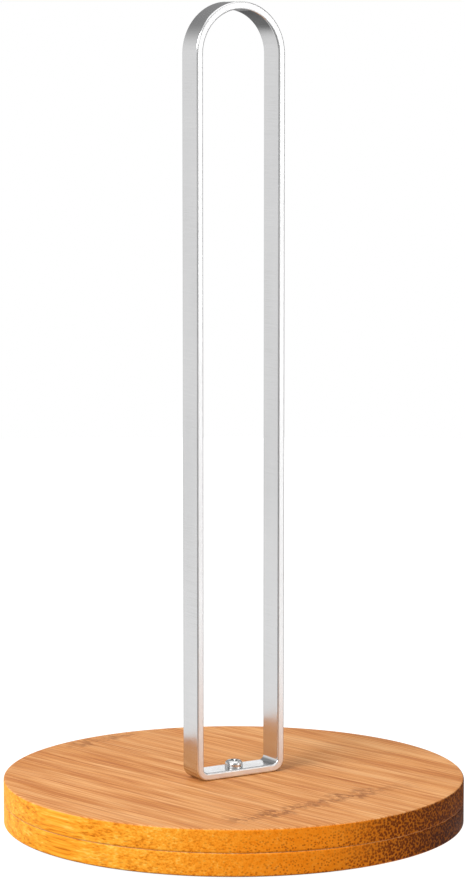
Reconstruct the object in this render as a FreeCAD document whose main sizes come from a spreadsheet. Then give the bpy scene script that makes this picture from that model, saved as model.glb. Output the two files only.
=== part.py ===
import FreeCAD, Part
import math
import os

import Sketcher
from FreeCAD import Vector

# Free-standing paper towel holder: a round two-ply bamboo base and a tall closed loop of flat
# metal bar, held down by one machine screw. Millimetres, +Z up. The origin is the middle of
# the surface the holder stands on. The loop's width lies along X and the bar's depth along Y.

# Driving dimensions. Every other size and place is worked out from these cells.
SIZES = [
    ("base_diameter", 180.0, "outer diameter of the round base"),
    ("ply_thickness", 9.0, "thickness of each of the two base plies"),
    ("rim_radius", 0.8, "rounding of the base's upper and lower rim"),
    ("seam_chamfer", 0.2, "eased edge of each ply at the glue seam"),
    ("pad_height", 1.5, "height of a non-slip pad"),
    ("pad_diameter", 14.0, "diameter of a non-slip pad"),
    ("pad_circle", 136.0, "diameter of the circle that the pads stand on"),
    ("pad_rounding", 0.5, "rounding of a pad's lower edge"),
    ("loop_height", 300.0, "height of the loop above the base"),
    ("loop_width", 40.0, "outer width of the loop"),
    ("bar_depth", 11.0, "width of the flat bar, along Y"),
    ("bar_thickness", 3.0, "thickness of the flat bar"),
    ("bend_radius", 2.0, "inside radius of the two lower bends"),
    ("bar_rounding", 0.7, "rounding of the bar's four long edges"),
    ("screw_diameter", 4.0, "outer diameter of the screw's thread"),
    ("screw_grip", 8.5, "length of screw below the base's top face"),
    ("screw_hole_gap", 0.15, "radial gap between the screw and the hole in the bar"),
    ("thread_pitch", 0.7, "pitch of the screw's thread"),
    ("thread_depth", 0.4, "depth of the screw's thread"),
    ("head_diameter", 7.0, "diameter of the pan head"),
    ("head_height", 2.6, "height of the pan head"),
    ("head_rounding", 1.5, "rounding of the pan head's upper edge"),
    ("recess_span", 4.0, "tip-to-tip span of the cross recess"),
    ("recess_slot", 0.9, "width of each slot of the cross recess"),
    ("recess_depth", 1.5, "depth of the cross recess"),
    ("insert_diameter", 7.0, "outer diameter of the threaded insert"),
    ("insert_length", 12.0, "length of the threaded insert"),
    ("insert_sink", 0.3, "depth of the insert's mouth below the base's top face"),
    ("insert_pitch", 2.0, "pitch of the insert's outer thread"),
    ("insert_thread", 0.6, "depth of the insert's outer thread"),
    ("insert_hex", 5.0, "across-flats size of the insert's hex socket"),
    ("insert_hex_depth", 3.0, "depth of the insert's hex socket"),
    ("fit_gap", 0.05, "radial gap of the insert in the wood and of the screw in the insert"),
    ("bore_end_gap", 1.0, "free depth below the insert in the lower ply"),
    ("cut_margin", 1.0, "how far a cut starts outside the face that it opens"),
    ("crest_margin", 0.05, "how far a thread groove's mouth stands outside the crest"),
]

# Heights above the surface, written as sheet expressions.
SEAM = "(Sizes.pad_height + Sizes.ply_thickness)"
BASE_TOP = "(Sizes.pad_height + 2 * Sizes.ply_thickness)"
BAR_TOP = "(Sizes.pad_height + 2 * Sizes.ply_thickness + Sizes.bar_thickness)"
ARCH_CENTRE = "(Sizes.pad_height + 2 * Sizes.ply_thickness + Sizes.loop_height - Sizes.loop_width / 2)"
INSERT_TOP = "(Sizes.pad_height + 2 * Sizes.ply_thickness - Sizes.insert_sink)"
SCREW_TIP = "(Sizes.pad_height + 2 * Sizes.ply_thickness - Sizes.screw_grip)"

PADS = {
    "foot_pad_front_left": 225,
    "foot_pad_front_right": 315,
    "foot_pad_rear_left": 135,
    "foot_pad_rear_right": 45,
}

TOLERANCE = 1e-5


def make_sheet(doc):
    """The sheet of driving dimensions: name, value, meaning."""
    sheet = doc.addObject("Spreadsheet::Sheet", "Sizes")
    for row, (alias, value, meaning) in enumerate(SIZES, start=1):
        sheet.set("A%d" % row, meaning)
        sheet.set("B%d" % row, str(value))
        sheet.setAlias("B%d" % row, alias)
    doc.recompute()
    return sheet


def new_body(doc, label):
    body = doc.addObject("PartDesign::Body", label)
    body.Label = label
    return body


def new_sketch(body, name, role, offset=None):
    """A sketch on one of the body's origin planes, lifted along the plane's normal by offset."""
    sketch = body.newObject("Sketcher::SketchObject", name)
    plane = [item for item in body.Origin.OriginFeatures if item.Role == role][0]
    sketch.AttachmentSupport = [(plane, "")]
    sketch.MapMode = "FlatFace"
    if offset:
        sketch.setExpression(".AttachmentOffset.Base.z", offset)
    return sketch


def bind(sketch, name, constraint, expression):
    """Add a constraint under a name and drive it from the sheet."""
    index = sketch.addConstraint(constraint)
    sketch.renameConstraint(index, name)
    sketch.setExpression("Constraints." + name, expression)


def circle_sketch(body, name, offset, diameter):
    """A circle about the Z axis at a height, its diameter driven by an expression."""
    sketch = new_sketch(body, name, "XY_Plane", offset)
    circle = sketch.addGeometry(Part.Circle(Vector(0, 0, 0), Vector(0, 0, 1), 1.0), False)
    sketch.addConstraint(Sketcher.Constraint("Coincident", circle, 3, -1, 1))
    bind(sketch, "diameter", Sketcher.Constraint("Diameter", circle, 2.0), diameter)
    return sketch


def pad(body, name, sketch, length):
    feature = body.newObject("PartDesign::Pad", name)
    feature.Profile = sketch
    feature.setExpression("Length", length)
    return feature


def pocket_down(body, name, sketch, length):
    """A pocket that cuts downwards from its sketch."""
    feature = body.newObject("PartDesign::Pocket", name)
    feature.Profile = sketch
    feature.setExpression("Length", length)
    return feature


def edges_where(shape, test):
    """Names of the shape's edges whose bounding box passes the test."""
    found = []
    for index, edge in enumerate(shape.Edges, start=1):
        if test(edge.BoundBox):
            found.append("Edge%d" % index)
    return found


def level_ring(height, radius):
    """A test for the circular edges that lie at one height and have one radius."""
    def test(box):
        level = abs(box.ZMin - height) < TOLERANCE and abs(box.ZMax - height) < TOLERANCE
        return level and abs(box.XMax - radius) < TOLERANCE
    return test


def dress(doc, body, kind, name, test, size_name, size):
    """Fillet or chamfer the edges of the body's tip that pass the test."""
    doc.recompute()
    base = body.Tip
    feature = body.newObject("PartDesign::" + kind, name)
    feature.Base = (base, edges_where(base.Shape, test))
    feature.setExpression(size_name, size)


def make_ply(doc, sheet, label, bottom, outer_height, seam_height):
    """One round ply: rounded at the outside rim and eased at the glue seam."""
    body = new_body(doc, label)
    disc = circle_sketch(body, "outline", bottom, "Sizes.base_diameter")
    pad(body, "disc", disc, "Sizes.ply_thickness")
    radius = sheet.base_diameter / 2
    dress(doc, body, "Fillet", "rim", level_ring(outer_height, radius), "Radius", "Sizes.rim_radius")
    dress(doc, body, "Chamfer", "seam", level_ring(seam_height, radius), "Size", "Sizes.seam_chamfer")
    return body


def make_base(doc, sheet):
    """The two glued plies, with the stepped bore for the insert."""
    underside = sheet.pad_height
    seam = underside + sheet.ply_thickness
    top = seam + sheet.ply_thickness
    bore_diameter = "Sizes.insert_diameter + 2 * Sizes.fit_gap"
    lower = make_ply(doc, sheet, "base_bottom_ply", "Sizes.pad_height", underside, seam)
    mouth = circle_sketch(lower, "bore_outline", SEAM + " + Sizes.cut_margin", bore_diameter)
    depth = "Sizes.insert_sink + Sizes.insert_length + Sizes.bore_end_gap - Sizes.ply_thickness"
    pocket_down(lower, "blind_bore", mouth, depth + " + Sizes.cut_margin")

    upper = make_ply(doc, sheet, "base_top_ply", SEAM, top, seam)
    mouth = circle_sketch(upper, "bore_outline", BASE_TOP + " + Sizes.cut_margin", bore_diameter)
    pocket_down(upper, "through_bore", mouth, "Sizes.ply_thickness + 2 * Sizes.cut_margin")
    return [upper, lower]


def loop_outline(sketch, name, half_width, foot_height, corner_radius):
    """One closed outline: half-round arch, two upright sides, two round corners, flat foot."""
    width, foot, corner, arch = 10.0, 0.0, 2.0, 60.0  # first guess; the constraints set the real size
    quarter = math.pi / 2
    arch_arc = Part.ArcOfCircle(Part.Circle(Vector(0, arch, 0), Vector(0, 0, 1), width), 0, math.pi)
    left = Part.LineSegment(Vector(-width, arch, 0), Vector(-width, foot + corner, 0))
    left_round = Part.Circle(Vector(corner - width, foot + corner, 0), Vector(0, 0, 1), corner)
    left_corner = Part.ArcOfCircle(left_round, 2 * quarter, 3 * quarter)
    floor = Part.LineSegment(Vector(corner - width, foot, 0), Vector(width - corner, foot, 0))
    right_round = Part.Circle(Vector(width - corner, foot + corner, 0), Vector(0, 0, 1), corner)
    right_corner = Part.ArcOfCircle(right_round, -quarter, 0)
    right = Part.LineSegment(Vector(width, foot + corner, 0), Vector(width, arch, 0))
    pieces = [arch_arc, left, left_corner, floor, right_corner, right]
    first = sketch.addGeometry(pieces, False)[0]
    for step in range(len(pieces)):
        # each piece ends where the next one starts, and runs into it smoothly
        here = first + step
        following = first + (step + 1) % len(pieces)
        sketch.addConstraint(Sketcher.Constraint("Tangent", here, 2, following, 1))
    sketch.addConstraint(Sketcher.Constraint("Vertical", first + 1))
    sketch.addConstraint(Sketcher.Constraint("Horizontal", first + 3))
    sketch.addConstraint(Sketcher.Constraint("Vertical", first + 5))
    sketch.addConstraint(Sketcher.Constraint("PointOnObject", first, 3, -2))
    sketch.addConstraint(Sketcher.Constraint("Equal", first + 2, first + 4))
    bind(sketch, name + "_half_width", Sketcher.Constraint("Radius", first, width), half_width)
    bind(sketch, name + "_corner", Sketcher.Constraint("Radius", first + 2, corner), corner_radius)
    floor_level = Sketcher.Constraint("DistanceY", -1, 1, first + 3, 1, 1.0)
    bind(sketch, name + "_foot", floor_level, foot_height)
    arch_level = Sketcher.Constraint("DistanceY", -1, 1, first, 3, arch)
    bind(sketch, name + "_arch", arch_level, ARCH_CENTRE)


def make_upright(doc, sheet):
    """The closed loop of flat bar, with rounded long edges and the screw hole in its foot."""
    body = new_body(doc, "upright_loop")
    sketch = new_sketch(body, "outline", "XZ_Plane")
    outer_corner = "Sizes.bend_radius + Sizes.bar_thickness"
    loop_outline(sketch, "outer", "Sizes.loop_width / 2", BASE_TOP, outer_corner)
    inner_half = "Sizes.loop_width / 2 - Sizes.bar_thickness"
    loop_outline(sketch, "inner", inner_half, BAR_TOP, "Sizes.bend_radius")
    bar = pad(body, "bar", sketch, "Sizes.bar_depth")
    bar.Midplane = True
    half_depth = sheet.bar_depth / 2
    dress(doc, body, "Fillet", "long_edges",
          lambda box: abs(abs(box.YMin) - half_depth) < TOLERANCE and box.YLength < TOLERANCE,
          "Radius", "Sizes.bar_rounding")
    hole = circle_sketch(body, "hole_outline", BAR_TOP + " + Sizes.cut_margin",
                         "Sizes.screw_diameter + 2 * Sizes.screw_hole_gap")
    pocket_down(body, "screw_hole", hole, "Sizes.bar_thickness + 2 * Sizes.cut_margin")
    return body


def cutter(body, kind, name, height, side=None, forward=None):
    """A subtractive primitive on the body's XY plane, its foot at a height, moved by side and forward."""
    feature = body.newObject("PartDesign::Subtractive" + kind, name)
    plane = [item for item in body.Origin.OriginFeatures if item.Role == "XY_Plane"][0]
    feature.AttachmentSupport = [(plane, "")]
    feature.MapMode = "FlatFace"
    feature.setExpression(".AttachmentOffset.Base.z", height)
    if side:
        feature.setExpression(".AttachmentOffset.Base.x", side)
        feature.setExpression(".AttachmentOffset.Base.y", forward)
    return feature


def ring_grooves(doc, body, name, radius, depth, pitch, first_height, length):
    """V grooves round the Z axis, one every pitch, as the crests of a thread show them."""
    sketch = new_sketch(body, name + "_outline", "XZ_Plane")
    outside = 4.0
    points = [Vector(outside, 0, 0), Vector(outside, 1, 0), Vector(outside - 1, 0.5, 0)]
    lines = [Part.LineSegment(points[i], points[(i + 1) % 3]) for i in range(3)]
    first = sketch.addGeometry(lines, False)[0]
    for step in range(3):
        following = first + (step + 1) % 3
        sketch.addConstraint(Sketcher.Constraint("Coincident", first + step, 2, following, 1))
    sketch.addConstraint(Sketcher.Constraint("Vertical", first))
    sketch.addConstraint(Sketcher.Constraint("Equal", first + 1, first + 2))
    # the mouth stands a little outside the crest, so that no skin is left on the thread
    mouth = "(%s) * 0.9" % pitch
    bind(sketch, "mouth", Sketcher.Constraint("DistanceY", first, 1, first, 2, 1.0), mouth)
    outer = Sketcher.Constraint("DistanceX", -1, 1, first, 1, outside)
    bind(sketch, "outer", outer, "(%s) + Sizes.crest_margin" % radius)
    root = Sketcher.Constraint("DistanceX", -1, 1, first + 1, 2, outside - 1)
    bind(sketch, "root", root, "(%s) - (%s)" % (radius, depth))
    level = Sketcher.Constraint("DistanceY", -1, 1, first, 1, 1.0)
    bind(sketch, "level", level, first_height)
    groove = body.newObject("PartDesign::Groove", name)
    groove.Profile = sketch
    groove.ReferenceAxis = (sketch, ["V_Axis"])
    groove.Angle = 360
    doc.recompute()
    pattern = body.newObject("PartDesign::LinearPattern", name + "_row")
    pattern.Originals = [groove]
    axis = [item for item in body.Origin.OriginFeatures if item.Role == "Z_Axis"][0]
    pattern.Direction = (axis, [""])
    pattern.Mode = "Spacing"
    pattern.setExpression("Offset", pitch)
    pattern.setExpression("Occurrences", "floor((%s) / (%s))" % (length, pitch))
    body.Tip = pattern


def make_screw(doc, sheet):
    """Pan-head machine screw: threaded shank, domed head seated on the bar, cross recess."""
    body = new_body(doc, "clamp_screw")
    shank = circle_sketch(body, "shank_outline", SCREW_TIP, "Sizes.screw_diameter")
    pad(body, "shank", shank, "Sizes.screw_grip + Sizes.bar_thickness")
    radius = sheet.screw_diameter / 2
    tip = sheet.pad_height + 2 * sheet.ply_thickness - sheet.screw_grip
    dress(doc, body, "Chamfer", "tip", level_ring(tip, radius), "Size", "Sizes.thread_depth")
    ring_grooves(doc, body, "thread", "Sizes.screw_diameter / 2", "Sizes.thread_depth",
                 "Sizes.thread_pitch", SCREW_TIP + " + Sizes.thread_pitch",
                 "Sizes.screw_grip - 2 * Sizes.thread_pitch")
    head = circle_sketch(body, "head_outline", BAR_TOP, "Sizes.head_diameter")
    pad(body, "head", head, "Sizes.head_height")
    head_top = tip + sheet.screw_grip + sheet.bar_thickness + sheet.head_height
    dress(doc, body, "Fillet", "dome", level_ring(head_top, sheet.head_diameter / 2),
          "Radius", "Sizes.head_rounding")
    recess_floor = BAR_TOP + " + Sizes.head_height - Sizes.recess_depth"
    for name, along, across in (("slot_x", "Length", "Width"), ("slot_y", "Width", "Length")):
        long_shift, short_shift = "-Sizes.recess_span / 2", "-Sizes.recess_slot / 2"
        shifts = (long_shift, short_shift) if along == "Length" else (short_shift, long_shift)
        slot = cutter(body, "Box", name, recess_floor, *shifts)
        slot.setExpression(along, "Sizes.recess_span")
        slot.setExpression(across, "Sizes.recess_slot")
        slot.setExpression("Height", "Sizes.recess_depth + Sizes.cut_margin")
    throat = cutter(body, "Cone", "throat", recess_floor)
    throat.setExpression("Radius1", "Sizes.recess_slot / 2")
    throat.setExpression("Radius2", "Sizes.recess_span / 3")
    throat.setExpression("Height", "Sizes.recess_depth")
    return body


def make_insert(doc):
    """Threaded bush in the base: outer wood thread, hex socket above a plain bore."""
    body = new_body(doc, "threaded_insert")
    foot = INSERT_TOP + " - Sizes.insert_length"
    blank = circle_sketch(body, "blank_outline", foot, "Sizes.insert_diameter")
    pad(body, "blank", blank, "Sizes.insert_length")
    ring_grooves(doc, body, "wood_thread", "Sizes.insert_diameter / 2", "Sizes.insert_thread",
                 "Sizes.insert_pitch", foot + " + Sizes.insert_pitch / 2",
                 "Sizes.insert_length - Sizes.insert_pitch")
    bore = circle_sketch(body, "bore_outline", INSERT_TOP + " + Sizes.cut_margin",
                         "Sizes.screw_diameter + 2 * Sizes.fit_gap")
    pocket_down(body, "bore", bore, "Sizes.insert_length + 2 * Sizes.cut_margin")
    socket = cutter(body, "Prism", "hex_socket", INSERT_TOP + " - Sizes.insert_hex_depth")
    socket.Polygon = 6
    socket.setExpression("Circumradius", "Sizes.insert_hex / 2 / cos(30 deg)")
    socket.setExpression("Height", "Sizes.insert_hex_depth + Sizes.cut_margin")
    return body


def make_pad(doc, sheet, label, bearing):
    """One round non-slip pad, stuck under the base at a bearing on the pad circle."""
    body = new_body(doc, label)
    outline = circle_sketch(body, "outline", None, "Sizes.pad_diameter")
    pad(body, "disc", outline, "Sizes.pad_height")
    dress(doc, body, "Fillet", "lower_edge", level_ring(0, sheet.pad_diameter / 2),
          "Radius", "Sizes.pad_rounding")
    body.setExpression(".Placement.Base.x", "Sizes.pad_circle / 2 * cos(%d deg)" % bearing)
    body.setExpression(".Placement.Base.y", "Sizes.pad_circle / 2 * sin(%d deg)" % bearing)
    return body


def check(doc, bodies):
    """Stop if any feature failed or any piece is not one valid solid."""
    for item in doc.Objects:
        if "Invalid" in item.State or "Error" in item.State:
            raise RuntimeError("%s failed: %s" % (item.Label, item.State))
        if item.TypeId == "Sketcher::SketchObject" and not item.FullyConstrained:
            raise RuntimeError("%s is not fully constrained" % item.Label)
    for body in bodies:
        shape = body.Shape
        if shape.isNull() or not shape.isValid() or len(shape.Solids) != 1:
            raise RuntimeError("%s is not one valid solid" % body.Label)


def main():
    doc = FreeCAD.newDocument("paper_towel_holder")
    sheet = make_sheet(doc)
    bodies = make_base(doc, sheet)
    bodies.append(make_upright(doc, sheet))
    bodies.append(make_screw(doc, sheet))
    bodies.append(make_insert(doc))
    for label, bearing in PADS.items():
        bodies.append(make_pad(doc, sheet, label, bearing))
    doc.recompute()
    check(doc, bodies)
    os.makedirs("parts", exist_ok=True)
    for body in bodies:
        body.Shape.exportStep(os.path.join("parts", body.Label + ".step"))
        box = body.Shape.BoundBox
        print("%-24s %10.1f mm3  z %.2f to %.2f" % (body.Label, body.Shape.Volume, box.ZMin, box.ZMax))


main()
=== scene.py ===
import math

import bpy
import numpy as np
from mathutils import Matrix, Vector


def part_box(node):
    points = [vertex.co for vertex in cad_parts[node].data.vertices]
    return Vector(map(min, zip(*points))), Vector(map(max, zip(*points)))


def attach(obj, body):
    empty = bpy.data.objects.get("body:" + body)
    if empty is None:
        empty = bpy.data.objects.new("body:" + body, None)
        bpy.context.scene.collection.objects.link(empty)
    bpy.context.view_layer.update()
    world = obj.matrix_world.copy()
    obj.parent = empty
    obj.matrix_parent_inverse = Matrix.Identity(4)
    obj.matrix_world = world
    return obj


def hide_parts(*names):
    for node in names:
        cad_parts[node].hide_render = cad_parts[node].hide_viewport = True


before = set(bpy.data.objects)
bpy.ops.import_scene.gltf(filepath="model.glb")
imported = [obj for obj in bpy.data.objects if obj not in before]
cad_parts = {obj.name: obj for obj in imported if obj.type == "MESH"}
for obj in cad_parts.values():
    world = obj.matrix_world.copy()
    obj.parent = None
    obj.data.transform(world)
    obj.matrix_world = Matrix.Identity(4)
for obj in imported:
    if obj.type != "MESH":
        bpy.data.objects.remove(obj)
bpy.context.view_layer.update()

# Everything is in metres, in the holder's own frame: +Z up, origin in the middle of the surface
# that the holder stands on, X along the loop's width, Y through the loop's opening.

MM = 0.001

# ---------------------------------------------------------------- sizes read from the frame

lower_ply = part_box("base_bottom_ply")
upper_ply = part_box("base_top_ply")
loop_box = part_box("upright_loop")
insert_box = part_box("threaded_insert")

BASE_RADIUS = upper_ply[1].x
BASE_UNDERSIDE = lower_ply[0].z
SEAM_HEIGHT = upper_ply[0].z
BASE_TOP = upper_ply[1].z
PLY = BASE_TOP - SEAM_HEIGHT
LOOP_HALF_WIDTH = loop_box[1].x
LOOP_HALF_DEPTH = loop_box[1].y
LOOP_TOP = loop_box[1].z

INSERT_GAP = 0.05 * MM
INSERT_HEADROOM = 1.0 * MM
RIM_ROUND = 0.8 * MM
SEAM_EASE = 0.2 * MM
BORE_RADIUS = insert_box[1].x + INSERT_GAP
BORE_FLOOR = insert_box[0].z - INSERT_HEADROOM
BAR = 3.0 * MM
BEND = 2.0 * MM
BAR_ROUND = 0.7 * MM
SCREW_HOLE_RADIUS = 2.15 * MM
FLOOR_DEPTH = 10 * MM

# How finely the meshes are cut.
BASE_TURNS = 360
FLOOR_TURNS = 128
HOLE_TURNS = 64
ROUND_STEPS = 9
LEG_POINTS = 58
FOOT_POINTS = 38
ARCH_POINTS = 121
BEND_POINTS = 16

# Direction of the bamboo's fibres in plan, from +X, and where its knuckles cross them.
GRAIN_TURN = math.radians(-79.0)
# Bearing in plan, from +X, of the side of the base turned away from the key light, where shade is painted
# on the bamboo's side.
SHADED_SIDE_TURN = math.radians(-35.0)
KNUCKLE_AT = 57.5 * MM
SMALL_KNUCKLE_AT = -82.0 * MM


# ---------------------------------------------------------------- meshes

def volume_of(mesh):
    """Signed volume: the sum over the triangles of a . (b x c) / 6, positive where faces look outward."""
    mesh.calc_loop_triangles()
    corners = np.array([mesh.vertices[i].co for t in mesh.loop_triangles for i in t.vertices])
    a, b, c = corners.reshape(-1, 3, 3).transpose(1, 0, 2)
    return float(np.einsum("ij,ij->i", a, np.cross(b, c)).sum() / 6)


def mesh_object(name, points, faces, uv=None):
    """A smooth mesh object from arrays of points and quads, turned so that its volume is positive."""
    mesh = bpy.data.meshes.new(name)
    mesh.from_pydata(points.tolist(), [], [list(f) for f in faces])
    if uv is not None:
        layer = mesh.uv_layers.new(name="along")
        layer.data.foreach_set("uv", np.asarray(uv, dtype=np.float32).ravel())
    mesh.validate()
    if volume_of(mesh) < 0:
        mesh.flip_normals()
    mesh.polygons.foreach_set("use_smooth", np.ones(len(mesh.polygons), dtype=bool))
    mesh.update()
    obj = bpy.data.objects.new(name, mesh)
    bpy.context.scene.collection.objects.link(obj)
    return obj


def arc(centre, radius, start, end, steps):
    """Points (r, z) on a circular arc about centre, angles in degrees."""
    angle = np.radians(np.linspace(start, end, steps))
    return np.stack([centre[0] + radius * np.cos(angle), centre[1] + radius * np.sin(angle)], axis=1)


def between(a, b, steps):
    """Points on the straight line from a to b, both ends left out."""
    share = np.linspace(0, 1, steps + 2)[1:-1, None]
    return np.asarray(a) * (1 - share) + np.asarray(b) * share


def lathe(name, profile, turns, closed):
    """Surface of revolution about Z: point (r, z) of the profile at angle a is (r cos a, r sin a, z).

    A closed profile joins its last point to its first. An open one starts and ends on the axis,
    where its end points become single poles.
    """
    angle = np.linspace(0, 2 * np.pi, turns, endpoint=False)
    ring = profile if closed else profile[1:-1]
    x = ring[:, 0][:, None] * np.cos(angle)
    y = ring[:, 0][:, None] * np.sin(angle)
    z = np.repeat(ring[:, 1][:, None], turns, axis=1)
    points = np.stack([x, y, z], axis=2).reshape(-1, 3)
    rows = len(ring)
    row = np.arange(rows if closed else rows - 1)[:, None]
    col = np.arange(turns)[None, :]
    following = (row + 1) % rows
    beside = (col + 1) % turns
    quads = np.stack([row * turns + col, row * turns + beside,
                      following * turns + beside, following * turns + col], axis=2).reshape(-1, 4)
    faces = quads.tolist()
    if not closed:
        first_pole, last_pole = len(points), len(points) + 1
        points = np.vstack([points, [[0, 0, profile[0, 1]], [0, 0, profile[-1, 1]]]])
        last = (rows - 1) * turns
        faces += [[first_pole, (i + 1) % turns, i] for i in range(turns)]
        faces += [[last_pole, last + i, last + (i + 1) % turns] for i in range(turns)]
    return mesh_object(name, points, faces)


def upper_ply_profile():
    """Ring section, anticlockwise: bore up, top face out, rounded rim, side down, eased seam, face in."""
    rim = arc((BASE_RADIUS - RIM_ROUND, BASE_TOP - RIM_ROUND), RIM_ROUND, 90, 0, ROUND_STEPS)
    seam = np.array([[BASE_RADIUS, SEAM_HEIGHT + SEAM_EASE], [BASE_RADIUS - SEAM_EASE, SEAM_HEIGHT]])
    top_in, top_out = (BORE_RADIUS, BASE_TOP), rim[0]
    face_out, face_in = seam[1], (BORE_RADIUS, SEAM_HEIGHT)
    return np.vstack([
        [face_in], between(face_in, top_in, 3), [top_in], between(top_in, top_out, 26), rim,
        between(rim[-1], seam[0], 10), seam, between(face_out, face_in, 12)])


def lower_ply_profile():
    """Solid section from the axis: bore floor, bore wall, seam face, eased seam, side, rim, underside."""
    rim = arc((BASE_RADIUS - RIM_ROUND, BASE_UNDERSIDE + RIM_ROUND), RIM_ROUND, 0, -90, ROUND_STEPS)
    seam = np.array([[BASE_RADIUS - SEAM_EASE, SEAM_HEIGHT], [BASE_RADIUS, SEAM_HEIGHT - SEAM_EASE]])
    floor, mouth = (BORE_RADIUS, BORE_FLOOR), (BORE_RADIUS, SEAM_HEIGHT)
    return np.vstack([
        [(0, BORE_FLOOR)], [floor], [mouth], between(mouth, seam[0], 12), seam,
        between(seam[1], rim[0], 10), rim, between(rim[-1], (0, BASE_UNDERSIDE), 20),
        [(0, BASE_UNDERSIDE)]])


def loop_path():
    """The bar's middle line in the XZ plane, as a closed run of points with the outward normal at each.

    It is a flat foot, two quarter bends, two straight legs and a half-round arch, all tangent.
    """
    half = LOOP_HALF_WIDTH - BAR / 2
    foot = BASE_TOP + BAR / 2
    bend = BEND + BAR / 2
    spring = LOOP_TOP - LOOP_HALF_WIDTH
    legs = np.linspace(0, 1, LEG_POINTS + 2)[1:-1]

    def turn(cx, cz, radius, start, end, steps):
        angle = np.radians(np.linspace(start, end, steps))
        out = np.stack([np.cos(angle), np.sin(angle)], axis=1)
        return np.array([cx, cz]) + radius * out, out

    right_leg = np.stack([np.full(LEG_POINTS, half), foot + bend + legs * (spring - foot - bend)], axis=1)
    left_leg = right_leg[::-1] * [-1, 1]
    foot_x = np.linspace(-half + bend, half - bend, FOOT_POINTS + 2)[1:-1]
    foot_bar = np.stack([foot_x, np.full(FOOT_POINTS, foot)], axis=1)
    runs = [
        (foot_bar, np.tile([0.0, -1.0], (FOOT_POINTS, 1))),
        turn(half - bend, foot + bend, bend, -90, 0, BEND_POINTS),
        (right_leg, np.tile([1.0, 0.0], (LEG_POINTS, 1))),
        turn(0, spring, half, 0, 180, ARCH_POINTS),
        (left_leg, np.tile([-1.0, 0.0], (LEG_POINTS, 1))),
        turn(-half + bend, foot + bend, bend, 180, 270, BEND_POINTS),
    ]
    return np.vstack([r[0] for r in runs]), np.vstack([r[1] for r in runs])


def bar_section():
    """Outline (outward, depth) of the flat bar: a rectangle with round corners, and with a point held
    close beside each rounding so that the flats shade flat."""
    w, d, r = BAR / 2, LOOP_HALF_DEPTH, BAR_ROUND
    hold = 0.12 * MM
    corners = []
    for sx, sy, start in ((1, 1, 0), (-1, 1, 90), (-1, -1, 180), (1, -1, 270)):
        corners.append(arc((sx * (w - r), sy * (d - r)), r, start, start + 90, ROUND_STEPS))
    outline = []
    for i, corner in enumerate(corners):
        after = corners[(i + 1) % 4]
        step = (after[0] - corner[-1]) / np.linalg.norm(after[0] - corner[-1]) * hold
        outline += [corner, [corner[-1] + step], between(corner[-1] + step, after[0] - step, 4),
                    [after[0] - step]]
    return np.vstack(outline)


def sweep_loop(name):
    """Bar section carried round the loop: a section point (o, d) at a path point p with outward
    normal n is p + o n in the XZ plane, with d along Y."""
    path, out = loop_path()
    section = bar_section()
    rows, cols = len(path), len(section)
    plane = path[:, None, :] + section[None, :, 0, None] * out[:, None, :]
    points = np.stack([plane[:, :, 0], np.tile(section[:, 1], (rows, 1)), plane[:, :, 1]], axis=2)
    row = np.arange(rows)[:, None]
    col = np.arange(cols)[None, :]
    following, beside = (row + 1) % rows, (col + 1) % cols
    quads = np.stack([row * cols + col, following * cols + col,
                      following * cols + beside, row * cols + beside], axis=2).reshape(-1, 4)
    step = np.linalg.norm(np.roll(path, -1, axis=0) - path, axis=1)
    along = np.concatenate([[0], np.cumsum(step)])
    girth = np.concatenate([[0], np.cumsum(np.linalg.norm(np.roll(section, -1, axis=0) - section, axis=1))])
    u0, u1 = along[:-1][:, None], along[1:][:, None]
    v0, v1 = girth[:-1][None, :], girth[1:][None, :]
    grid = np.zeros((rows, cols))
    uv = np.stack([np.stack([u0 + grid, v0 + grid], axis=2), np.stack([u1 + grid, v0 + grid], axis=2),
                   np.stack([u1 + grid, v1 + grid], axis=2), np.stack([u0 + grid, v1 + grid], axis=2)],
                  axis=2).reshape(-1, 2)
    return mesh_object(name, points.reshape(-1, 3), quads.tolist(), uv)


def drill(obj, radius, low, high):
    """Cuts a round hole about the Z axis through obj, between two heights, and keeps the result."""
    turns = HOLE_TURNS
    angle = np.linspace(0, 2 * np.pi, turns, endpoint=False)
    ring = np.stack([radius * np.cos(angle), radius * np.sin(angle)], axis=1)
    points = np.vstack([np.c_[ring, np.full(turns, low)], np.c_[ring, np.full(turns, high)]])
    walls = [[i, (i + 1) % turns, turns + (i + 1) % turns, turns + i] for i in range(turns)]
    caps = [list(range(turns))[::-1], list(range(turns, 2 * turns))]
    cutter = mesh_object("drill", points, walls + caps)
    cut = obj.modifiers.new("hole", "BOOLEAN")
    cut.operation = "DIFFERENCE"
    cut.solver = "EXACT"
    cut.object = cutter
    graph = bpy.context.evaluated_depsgraph_get()
    drilled = bpy.data.meshes.new_from_object(obj.evaluated_get(graph))
    obj.modifiers.clear()
    plain = obj.data
    obj.data = drilled
    obj.data.name = obj.name
    bpy.data.meshes.remove(plain)
    bpy.data.objects.remove(cutter)


# ---------------------------------------------------------------- material building

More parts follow.
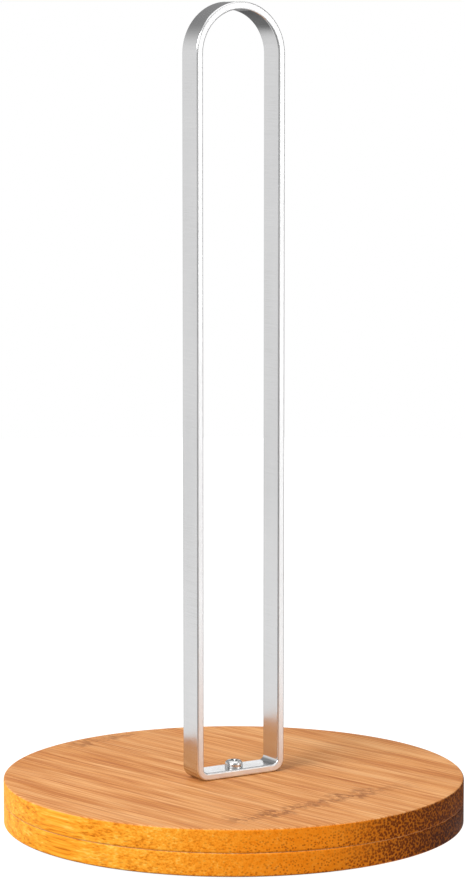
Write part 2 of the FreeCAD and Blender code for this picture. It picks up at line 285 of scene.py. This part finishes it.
class Shader:
    """A node material under construction, with short calls for the nodes used here."""

    def __init__(self, name):
        self.material = bpy.data.materials.new(name)
        self.material.use_nodes = True
        self.tree = self.material.node_tree
        self.surface = self.tree.nodes["Principled BSDF"]

    def node(self, kind, **settings):
        made = self.tree.nodes.new("ShaderNode" + kind)
        for key, value in settings.items():
            setattr(made, key, value)
        return made

    def feed(self, socket, value):
        """Link an output to an input socket, or set a plain number, colour or vector."""
        if isinstance(value, bpy.types.NodeSocket):
            self.tree.links.new(value, socket)
        else:
            socket.default_value = value

    def math(self, operation, a, b=0.0, clamp=False):
        made = self.node("Math", operation=operation, use_clamp=clamp)
        self.feed(made.inputs[0], a)
        self.feed(made.inputs[1], b)
        return made.outputs[0]

    def coordinates(self, kind="Object"):
        return self.node("TexCoord").outputs[kind]

    def mapped(self, vector, scale=(1, 1, 1), turn=0.0, shift=(0, 0, 0)):
        made = self.node("Mapping")
        self.feed(made.inputs["Vector"], vector)
        made.inputs["Scale"].default_value = scale
        made.inputs["Rotation"].default_value = (0, 0, turn)
        made.inputs["Location"].default_value = shift
        return made.outputs[0]

    def noise(self, vector, detail=3.0, roughness=0.55, distortion=0.0):
        """Noise whose scale is set wholly by the vector, from 0 to 1."""
        made = self.node("TexNoise")
        self.feed(made.inputs["Vector"], vector)
        made.inputs["Scale"].default_value = 1.0
        made.inputs["Detail"].default_value = detail
        made.inputs["Roughness"].default_value = roughness
        made.inputs["Distortion"].default_value = distortion
        return made.outputs["Fac"]

    def cells(self, vector, randomness=1.0):
        """Distance to the nearest cell centre."""
        made = self.node("TexVoronoi")
        self.feed(made.inputs["Vector"], vector)
        made.inputs["Scale"].default_value = 1.0
        made.inputs["Randomness"].default_value = randomness
        return made.outputs["Distance"]

    def ramp(self, value, stops, easing="EASE"):
        """Colour ramp from (place, (r, g, b)) stops."""
        made = self.node("ValToRGB")
        self.feed(made.inputs[0], value)
        band = made.color_ramp
        band.interpolation = easing
        while len(band.elements) < len(stops):
            band.elements.new(0.5)
        for element, (place, colour) in zip(band.elements, stops):
            element.position = place
            element.color = (*colour, 1.0)
        return made.outputs[0]

    def step(self, value, low, high, to_low=0.0, to_high=1.0):
        """Smooth change from to_low to to_high as value goes from low to high."""
        made = self.node("MapRange", interpolation_type="SMOOTHSTEP")
        for index, number in enumerate((value, low, high, to_low, to_high)):
            self.feed(made.inputs[index], number)
        return made.outputs[0]

    def mix(self, share, a, b, blend="MIX"):
        made = self.node("Mix", data_type="RGBA", blend_type=blend)
        self.feed(made.inputs[0], share)
        self.feed(made.inputs[6], a)
        self.feed(made.inputs[7], b)
        return made.outputs[2]

    def dot(self, vector, direction):
        """How far a vector goes along a fixed direction."""
        made = self.node("VectorMath", operation="DOT_PRODUCT")
        self.feed(made.inputs[0], vector)
        made.inputs[1].default_value = direction
        return made.outputs["Value"]

    def parts(self, vector):
        made = self.node("SeparateXYZ")
        self.feed(made.inputs[0], vector)
        return made.outputs

    def bump(self, height, strength, distance):
        made = self.node("Bump")
        self.feed(made.inputs["Height"], height)
        made.inputs["Strength"].default_value = strength
        made.inputs["Distance"].default_value = distance
        self.feed(self.surface.inputs["Normal"], made.outputs[0])

    def set(self, **values):
        """Set sockets of the surface by name, with spaces written as underscores."""
        for key, value in values.items():
            self.feed(self.surface.inputs[key.replace("_", " ")], value)
        return self.material


def grey(value):
    """A neutral colour."""
    return (value, value, value)


# ---------------------------------------------------------------- bamboo

def bamboo(name, ply_floor, drift, stain_and_painted_shade):
    """Flattened bamboo: fibre bundles that run one way through the ply, seen as streaks on the flat
    face, as lines where the side runs with them and as dots where it cuts across them. The side is
    painted with shade where it turns away from the key light; the last argument is how dark that painted
    shade gets."""
    s = Shader(name)
    place = s.coordinates()
    grain = s.mapped(place, turn=-GRAIN_TURN, shift=(drift, drift * 0.37, 0))
    plain = s.mapped(place, turn=-GRAIN_TURN)
    along, across, up = s.parts(plain)[:3]

    # slow wander of the fibres, so that streaks aren't ruled lines
    wander = s.noise(s.mapped(grain, scale=(14, 30, 30)), detail=1.0)
    bent = s.node("VectorMath", operation="ADD")
    shift = s.node("CombineXYZ")
    s.feed(shift.inputs[1], s.math("MULTIPLY", s.math("SUBTRACT", wander, 0.5), 3.2 * MM))
    s.feed(bent.inputs[0], grain)
    s.feed(bent.inputs[1], shift.outputs[0])
    fibres = bent.outputs[0]

    broad = s.noise(s.mapped(fibres, scale=(9, 120, 120)), detail=3.0)
    middle = s.noise(s.mapped(fibres, scale=(16, 520, 520)), detail=3.0, roughness=0.65)
    fine = s.noise(s.mapped(fibres, scale=(30, 1900, 1400)), detail=2.0, roughness=0.6)
    bundles = s.cells(s.mapped(fibres, scale=(3, 1000, 1000)), randomness=0.9)

    # knuckles: a band across the fibres, broken up and ragged along its edges
    ragged = s.noise(s.mapped(grain, scale=(70, 190, 60)), detail=3.0)
    offset = s.math("MULTIPLY", s.math("SUBTRACT", ragged, 0.5), 22 * MM)
    main = s.math("ABSOLUTE", s.math("SUBTRACT", s.math("ADD", along, offset), KNUCKLE_AT))
    main = s.step(main, 1.0 * MM, 6.5 * MM, 1.0, 0.0)
    small = s.math("ABSOLUTE", s.math("SUBTRACT", s.math("ADD", along, offset), SMALL_KNUCKLE_AT))
    small = s.step(small, 0.5 * MM, 5.0 * MM, 0.8, 0.0)
    small = s.math("MULTIPLY", small, s.step(s.math("ABSOLUTE", s.math("SUBTRACT", across, 5 * MM)),
                                             12 * MM, 26 * MM, 1.0, 0.0))
    knuckle = s.math("MAXIMUM", main, small)
    patch = s.noise(s.mapped(grain, scale=(240, 420, 90)), detail=3.0, roughness=0.7)
    knuckle = s.math("MULTIPLY", knuckle, s.step(patch, 0.40, 0.58))
    knuckle = s.math("MULTIPLY", knuckle, s.step(across, 4 * MM, 42 * MM, 1.0, 0.12))
    knuckle = s.math("MULTIPLY", knuckle, s.step(across, -62 * MM, -46 * MM))

    # the outer wall of the culm, where the bundles are densest, is low in each ply
    rise = s.math("DIVIDE", s.math("SUBTRACT", up, ply_floor), PLY)
    dense = s.step(rise, 0.05, 0.95, 1.0, 0.35)

    tone = s.math("ADD", s.math("MULTIPLY", broad, 0.58), s.math("MULTIPLY", middle, 0.42))
    tone = s.math("ADD", tone, s.math("MULTIPLY", s.math("SUBTRACT", fine, 0.5), 0.85))
    face = s.ramp(tone, [(0.34, (0.48, 0.17, 0.046)), (0.45, (0.62, 0.26, 0.080)),
                         (0.54, (0.70, 0.33, 0.120)), (0.66, (0.76, 0.41, 0.180))])
    # painted light: the side gets its own ramp, brighter and more saturated than the face's, standing in
    # for the difference in light and sheen between the top face and the side
    side_tone = s.math("ADD", s.math("MULTIPLY", broad, 0.12), s.math("MULTIPLY", middle, 0.40))
    side_tone = s.math("ADD", side_tone, s.math("MULTIPLY", fine, 0.48))
    side = s.ramp(side_tone, [(0.38, (0.66, 0.19, 0.008)), (0.46, (0.92, 0.32, 0.020)),
                              (0.54, (1.0, 0.42, 0.036)), (0.64, (1.0, 0.57, 0.10))])

    # the ply's side, and how squarely it cuts the fibres' ends
    normal = s.coordinates("Normal")
    upright = s.step(s.math("ABSOLUTE", s.parts(normal)[2]), 0.25, 0.8, 1.0, 0.0)
    turned = s.parts(s.mapped(normal, turn=-GRAIN_TURN))
    end = s.math("POWER", s.math("ABSOLUTE", turned[0]), 1.6)
    end = s.math("MULTIPLY", end, upright)

    # painted shade: a mask that rises towards the side turned away from the key light; along it the side's
    # orange is first painted deeper and redder
    toward_shaded_side = s.dot(normal, (math.cos(SHADED_SIDE_TURN), math.sin(SHADED_SIDE_TURN), 0))
    painted_shade_red = s.step(toward_shaded_side, -0.45, 0.35, 0.0, 0.70)
    side = s.mix(painted_shade_red, side, (0.98, 0.235, 0.003, 1))
    colour = s.mix(upright, face, side)
    dots = s.step(bundles, 0.22, 0.46, 1.0, 0.0)
    dots_on_face = s.math("MULTIPLY", dots, 0.22)
    contrast = s.step(toward_shaded_side, -0.2, 0.6, 0.34, 0.90)
    dots_on_side = s.math("MULTIPLY", s.math("MULTIPLY", dots, dense), contrast)
    on_face = s.math("SUBTRACT", 1.0, upright)
    dotted = s.math("ADD", s.math("MULTIPLY", dots_on_face, on_face),
                    s.math("MULTIPLY", dots_on_side, upright))
    colour = s.mix(dotted, colour, (0.34, 0.060, 0.002, 1))
    hairs = s.noise(s.mapped(fibres, scale=(15, 850, 600)), detail=3.0, roughness=0.6)
    hairs = s.math("MULTIPLY", s.step(hairs, 0.50, 0.66), on_face)
    colour = s.mix(s.math("MULTIPLY", hairs, 0.38), colour, (0.36, 0.115, 0.025, 1))
    marked = s.math("MULTIPLY", knuckle, on_face)
    colour = s.mix(s.math("MULTIPLY", marked, 0.90), colour, (0.30, 0.11, 0.035, 1))
    # painted shade: the side turned away from the key light is painted brown, then nearly black, with the
    # pale pith between the bundles left lighter
    pith = s.step(bundles, 0.46, 0.64, 1.0, 0.55)
    painted_shade_brown = s.math("MULTIPLY", s.step(toward_shaded_side, 0.40, 0.70, 0.0, 0.90), pith)
    colour = s.mix(painted_shade_brown, colour, (0.13, 0.020, 0.001, 1))
    painted_shade_dark = s.step(toward_shaded_side, 0.58, 0.94, 0.0, stain_and_painted_shade)
    painted_shade_dark = s.math("MULTIPLY", painted_shade_dark, s.step(pith, 0.4, 1.0, 0.75, 1.0))
    colour = s.mix(painted_shade_dark, colour, (0.040, 0.007, 0.001, 1))

    rough = s.step(fine, 0.3, 0.7, 0.42, 0.60)
    rough = s.math("ADD", rough, s.math("MULTIPLY", end, 0.14))
    height = s.math("SUBTRACT", s.math("MULTIPLY", fine, 0.5), s.math("MULTIPLY", dots, 0.6))
    height = s.math("ADD", height, s.math("MULTIPLY", knuckle, 0.5))
    s.bump(height, 0.35, 0.12 * MM)
    return s.set(Base_Color=colour, Roughness=rough, Specular_IOR_Level=0.06)


# ---------------------------------------------------------------- metals and rubber

def brushed_bar(name):
    """Satin bar: fine brush lines across the bar, faint clouding, and duller cut edges painted paler as a
    highlight.
    """
    s = Shader(name)
    place = s.coordinates("UV")
    lines = s.noise(s.mapped(place, scale=(5200, 70, 1)), detail=2.0, roughness=0.7)
    long_lines = s.noise(s.mapped(place, scale=(900, 30, 1)), detail=2.0)
    clouds = s.noise(s.mapped(s.coordinates(), scale=(60, 60, 24)), detail=2.0)
    tone = s.math("ADD", s.math("MULTIPLY", lines, 0.6), s.math("MULTIPLY", clouds, 0.4))
    colour = s.ramp(tone, [(0.32, grey(0.62)), (0.50, (0.675, 0.675, 0.68)), (0.70, grey(0.72))])
    rough = s.step(s.math("ADD", s.math("MULTIPLY", lines, 0.5), s.math("MULTIPLY", clouds, 0.5)),
                   0.35, 0.65, 0.13, 0.20)
    # the cut edges are rougher than the brushed faces; their paler colour is a painted highlight that lifts
    # them towards white
    edge = s.step(s.math("ABSOLUTE", s.parts(s.coordinates("Normal"))[1]), 0.6, 0.95)
    rough = s.math("ADD", rough, s.math("MULTIPLY", edge, 0.27))
    colour = s.mix(s.math("MULTIPLY", edge, 0.85), colour, (0.86, 0.86, 0.86, 1))
    s.bump(s.math("ADD", s.math("MULTIPLY", lines, 0.7), s.math("MULTIPLY", long_lines, 0.3)),
           0.10, 0.03 * MM)
    return s.set(Base_Color=colour, Roughness=rough, Metallic=1.0)


def plated_screw(name):
    """Bright plated steel with fine turning marks and a smoky clouding."""
    s = Shader(name)
    clouds = s.noise(s.mapped(s.coordinates(), scale=(700, 700, 700)), detail=3.0)
    colour = s.ramp(clouds, [(0.35, grey(0.62)), (0.6, (0.80, 0.80, 0.79))])
    marks = s.noise(s.mapped(s.coordinates(), scale=(300, 300, 9000)), detail=1.0)
    s.bump(marks, 0.08, 0.02 * MM)
    return s.set(Base_Color=colour, Roughness=s.step(clouds, 0.3, 0.7, 0.24, 0.36), Metallic=1.0)


def machined_brass(name):
    """Turned brass with a dull, slightly stained skin."""
    s = Shader(name)
    stain_and_painted_shade = s.noise(s.mapped(s.coordinates(), scale=(500, 500, 260)), detail=4.0)
    colour = s.ramp(stain_and_painted_shade, [(0.35, (0.40, 0.25, 0.08)), (0.6, (0.72, 0.52, 0.22))])
    s.bump(s.noise(s.mapped(s.coordinates(), scale=(200, 200, 8000)), detail=1.0), 0.1, 0.02 * MM)
    return s.set(Base_Color=colour, Roughness=s.step(stain_and_painted_shade, 0.3, 0.7, 0.25, 0.42), Metallic=1.0)


def pad_rubber(name):
    """Dark moulded rubber with a fine pebbled skin and dust in it."""
    s = Shader(name)
    pebble = s.cells(s.mapped(s.coordinates(), scale=(2600, 2600, 2600)))
    dust = s.noise(s.mapped(s.coordinates(), scale=(220, 220, 220)), detail=4.0)
    colour = s.ramp(dust, [(0.35, grey(0.022)), (0.65, (0.055, 0.053, 0.050))])
    s.bump(pebble, 0.35, 0.05 * MM)
    return s.set(Base_Color=colour, Roughness=s.step(dust, 0.3, 0.7, 0.62, 0.85))


def repaint(node, material):
    """Give a CAD node that stays as it is a finished material."""
    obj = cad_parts[node]
    obj.data.materials.clear()
    obj.data.materials.append(material)


# ---------------------------------------------------------------- the holder

def build_base():
    """The two bamboo plies of the base, each with painted shade on the side turned away from the key light,
    deeper on the lower one.
    """
    upper = lathe("base_top", upper_ply_profile(), BASE_TURNS, closed=True)
    upper.data.materials.append(bamboo("bamboo_top", SEAM_HEIGHT, 0.0, 0.72))
    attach(upper, "base")
    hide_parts("base_top_ply")
    lower = lathe("base_bottom", lower_ply_profile(), BASE_TURNS, closed=False)
    lower.data.materials.append(bamboo("bamboo_bottom", BASE_UNDERSIDE, 0.31, 0.95))
    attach(lower, "base")
    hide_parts("base_bottom_ply")


def build_upright():
    """The closed loop of flat bar, with the screw's hole through its foot."""
    loop = sweep_loop("loop_bar")
    drill(loop, SCREW_HOLE_RADIUS, BASE_TOP - MM, BASE_TOP + BAR + MM)
    loop.data.materials.append(brushed_bar("satin_bar"))
    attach(loop, "upright")
    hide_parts("upright_loop")


def finish_small_parts():
    """Materials for the screw, the threaded insert and the four pads, which keep their CAD shapes."""
    repaint("clamp_screw", plated_screw("plated_screw"))
    repaint("threaded_insert", machined_brass("machined_brass"))
    rubber = pad_rubber("pad_rubber")
    for corner in ("front_left", "front_right", "rear_left", "rear_right"):
        repaint("foot_pad_" + corner, rubber)


# ---------------------------------------------------------------- camera, light and floor

CAMERA_TURN = math.radians(-32.34)
CAMERA_DISTANCE = 1.2383
CAMERA_RISE = 0.3016
CAMERA_ASIDE = -0.0005
CAMERA_DIP = math.radians(6.98)
FLOOR_RADIUS = 1.25
FLOOR_GLOW = 1.0
SPILL_LIGHT = 0.76
STRIP_BEARING = 115.0
STRIP_SPILL = 0.78
WALL_BEARING = -80.0
WALL_DROP = 0.9
WALL_EDGE = 0.22
WALL_FADE = 0.70
WALL_LIGHT = 0.95
ROOM_LIGHT = 0.30
LENS = 132.06
SENSOR = 36.0

LINE_OF_SIGHT = Vector((-math.sin(CAMERA_TURN), math.cos(CAMERA_TURN), 0))
RIGHTWARDS = Vector((math.cos(CAMERA_TURN), math.sin(CAMERA_TURN), 0))


def bearing_direction(bearing):
    """Level unit vector at a bearing in degrees from the line of sight, clockwise seen from above."""
    turn = math.radians(bearing)
    return LINE_OF_SIGHT * math.cos(turn) + RIGHTWARDS * math.sin(turn)


def add_camera():
    """A level camera in front of the holder, looking slightly down at it."""
    data = bpy.data.cameras.new("camera")
    data.lens = LENS
    data.sensor_width = SENSOR
    camera = bpy.data.objects.new("camera", data)
    camera.location = (RIGHTWARDS * CAMERA_ASIDE - LINE_OF_SIGHT * CAMERA_DISTANCE
                       + Vector((0, 0, BASE_UNDERSIDE + CAMERA_RISE)))
    camera.rotation_euler = (math.pi / 2 - CAMERA_DIP, 0, CAMERA_TURN)
    bpy.context.scene.collection.objects.link(camera)
    bpy.context.scene.camera = camera


def softbox(name, bearing, rise, distance, width, height, radiance):
    """A rectangular light that faces the loop's middle. Bearing is from the line of sight, clockwise
    seen from above, and rise is the angle above the horizon, both in degrees."""
    data = bpy.data.lights.new(name, "AREA")
    data.shape = "RECTANGLE"
    data.size = width
    data.size_y = height
    data.energy = radiance * math.pi * width * height
    light = bpy.data.objects.new(name, data)
    b, r = math.radians(bearing), math.radians(rise)
    away = LINE_OF_SIGHT * math.cos(b) * math.cos(r) + RIGHTWARDS * math.sin(b) * math.cos(r)
    away = away + Vector((0, 0, math.sin(r)))
    middle = Vector((0, 0, LOOP_TOP / 2))
    light.location = middle + away * distance
    light.rotation_euler = (-away).to_track_quat("-Z", "Y").to_euler()
    bpy.context.scene.collection.objects.link(light)
    return light


def add_floor():
    """A wide, pale, slightly uneven floor. Seen straight on it is blown out to white; what it gives
    back to the holder is less, apart from the light spilled by the wall and by the strip."""
    profile = np.array([[0, -FLOOR_DEPTH], [FLOOR_RADIUS, -FLOOR_DEPTH], [FLOOR_RADIUS, 0], [0, 0]])
    floor = lathe("floor", profile, FLOOR_TURNS, closed=False)
    s = Shader("floor_paint")
    cloud = s.noise(s.mapped(s.coordinates(), scale=(3, 3, 3)), detail=2.0)
    away = s.node("VectorMath", operation="NORMALIZE")
    s.feed(away.inputs[0], s.coordinates())
    left = s.dot(away.outputs[0], bearing_direction(WALL_BEARING))
    right = s.dot(away.outputs[0], bearing_direction(STRIP_BEARING))
    spill = s.math("ADD", s.step(left, 0.75, 0.95, 0.0, SPILL_LIGHT),
                   s.step(right, 0.75, 0.95, 0.0, STRIP_SPILL))
    seen = s.node("LightPath").outputs["Is Camera Ray"]
    glow = s.math("ADD", s.math("MULTIPLY", seen, FLOOR_GLOW),
                  s.math("MULTIPLY", s.math("SUBTRACT", 1.0, seen), spill))
    s.set(Base_Color=s.ramp(cloud, [(0.3, grey(0.17)), (0.7, grey(0.19))]), Roughness=0.8,
          Specular_IOR_Level=0.2, Emission_Color=(1, 1, 1, 1), Emission_Strength=glow)
    floor.data.materials.append(s.material)


def add_surroundings():
    """A white backdrop, with a bright studio wall on the left that fades to a dim room."""
    world = bpy.data.worlds.new("studio")
    bpy.context.scene.world = world
    world.use_nodes = True
    tree = world.node_tree
    background = tree.nodes["Background"]
    place = tree.nodes.new("ShaderNodeTexCoord")
    facing = tree.nodes.new("ShaderNodeVectorMath")
    facing.operation = "DOT_PRODUCT"
    facing.inputs[1].default_value = bearing_direction(WALL_BEARING) - Vector((0, 0, WALL_DROP))
    wall = tree.nodes.new("ShaderNodeMapRange")
    wall.interpolation_type = "SMOOTHSTEP"
    limits = (WALL_EDGE, WALL_EDGE + WALL_FADE, ROOM_LIGHT, WALL_LIGHT)
    for socket, number in zip(wall.inputs[1:5], limits):
        socket.default_value = number
    tree.links.new(place.outputs["Generated"], facing.inputs[0])
    tree.links.new(facing.outputs["Value"], wall.inputs[0])
    seen = tree.nodes.new("ShaderNodeLightPath")
    brighter = tree.nodes.new("ShaderNodeMath")
    brighter.operation = "MAXIMUM"
    tree.links.new(seen.outputs["Is Camera Ray"], brighter.inputs[0])
    tree.links.new(wall.outputs[0], brighter.inputs[1])
    tree.links.new(brighter.outputs[0], background.inputs[1])
    background.inputs[0].default_value = (1, 1, 1, 1)


def add_light():
    """Soft light from above and the left front, with strips for the bar's edges and the foot's top."""
    add_surroundings()
    softbox("overhead", 0, 88, 1.8, 2.6, 2.6, 1.26)
    softbox("key_left", -135, 29, 1.6, 1.0, 0.6, 13.2)
    softbox("edge_strip", STRIP_BEARING, 5, 1.8, 0.5, 1.6, 3.2)
    softbox("back_strip", 0, 8.5, 1.8, 0.6, 0.22, 1.0)


bpy.context.scene.view_settings.view_transform = "Standard"
build_base()
build_upright()
finish_small_parts()
add_floor()
add_light()
add_camera()
